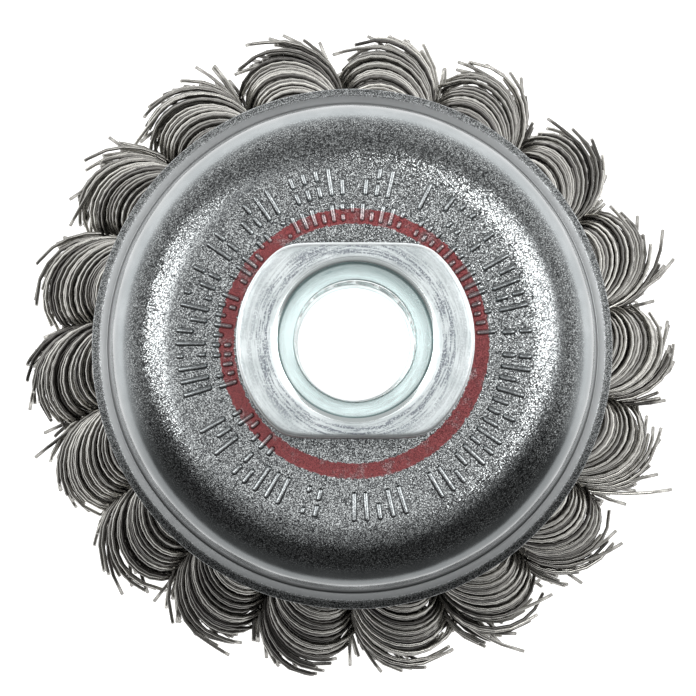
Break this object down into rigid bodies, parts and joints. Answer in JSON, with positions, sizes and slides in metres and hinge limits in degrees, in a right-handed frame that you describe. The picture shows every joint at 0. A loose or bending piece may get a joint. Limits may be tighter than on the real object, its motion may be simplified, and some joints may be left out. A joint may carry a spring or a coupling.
{
  "type": "wire cup brush",
  "caption": "Knotted wire cup brush: a pressed steel cup with a threaded hub nut holds a ring of twisted wire knots that flare outwards.",
  "frame": {"origin": "on the axis of rotation, in the plane of the knots' tips, on which the brush stands", "axes": "+Z along the axis, from the tips to the nut; X through the nut's round ends; Y across its two flats"},
  "size_m": [0.07, 0.069, 0.045],
  "materials": {
    "cup_steel": "bright speckled sheet steel with a red painted ring",
    "zinc_steel": "zinc plated, turned",
    "plate_steel": "plain pressed steel",
    "wire": "drawn stainless wire"
  },
  "bodies": {
    "root": {"cup": "cup_steel", "hub_nut": "zinc_steel", "knot_plate": "plate_steel", "knot_01": "wire", "knot_02": "wire", "knot_03": "wire", "knot_04": "wire", "knot_05": "wire", "knot_06": "wire", "knot_07": "wire", "knot_08": "wire", "knot_09": "wire", "knot_10": "wire", "knot_11": "wire", "knot_12": "wire", "knot_13": "wire", "knot_14": "wire", "knot_15": "wire", "knot_16": "wire", "knot_17": "wire", "knot_18": "wire"}
  },
  "joints": []
}
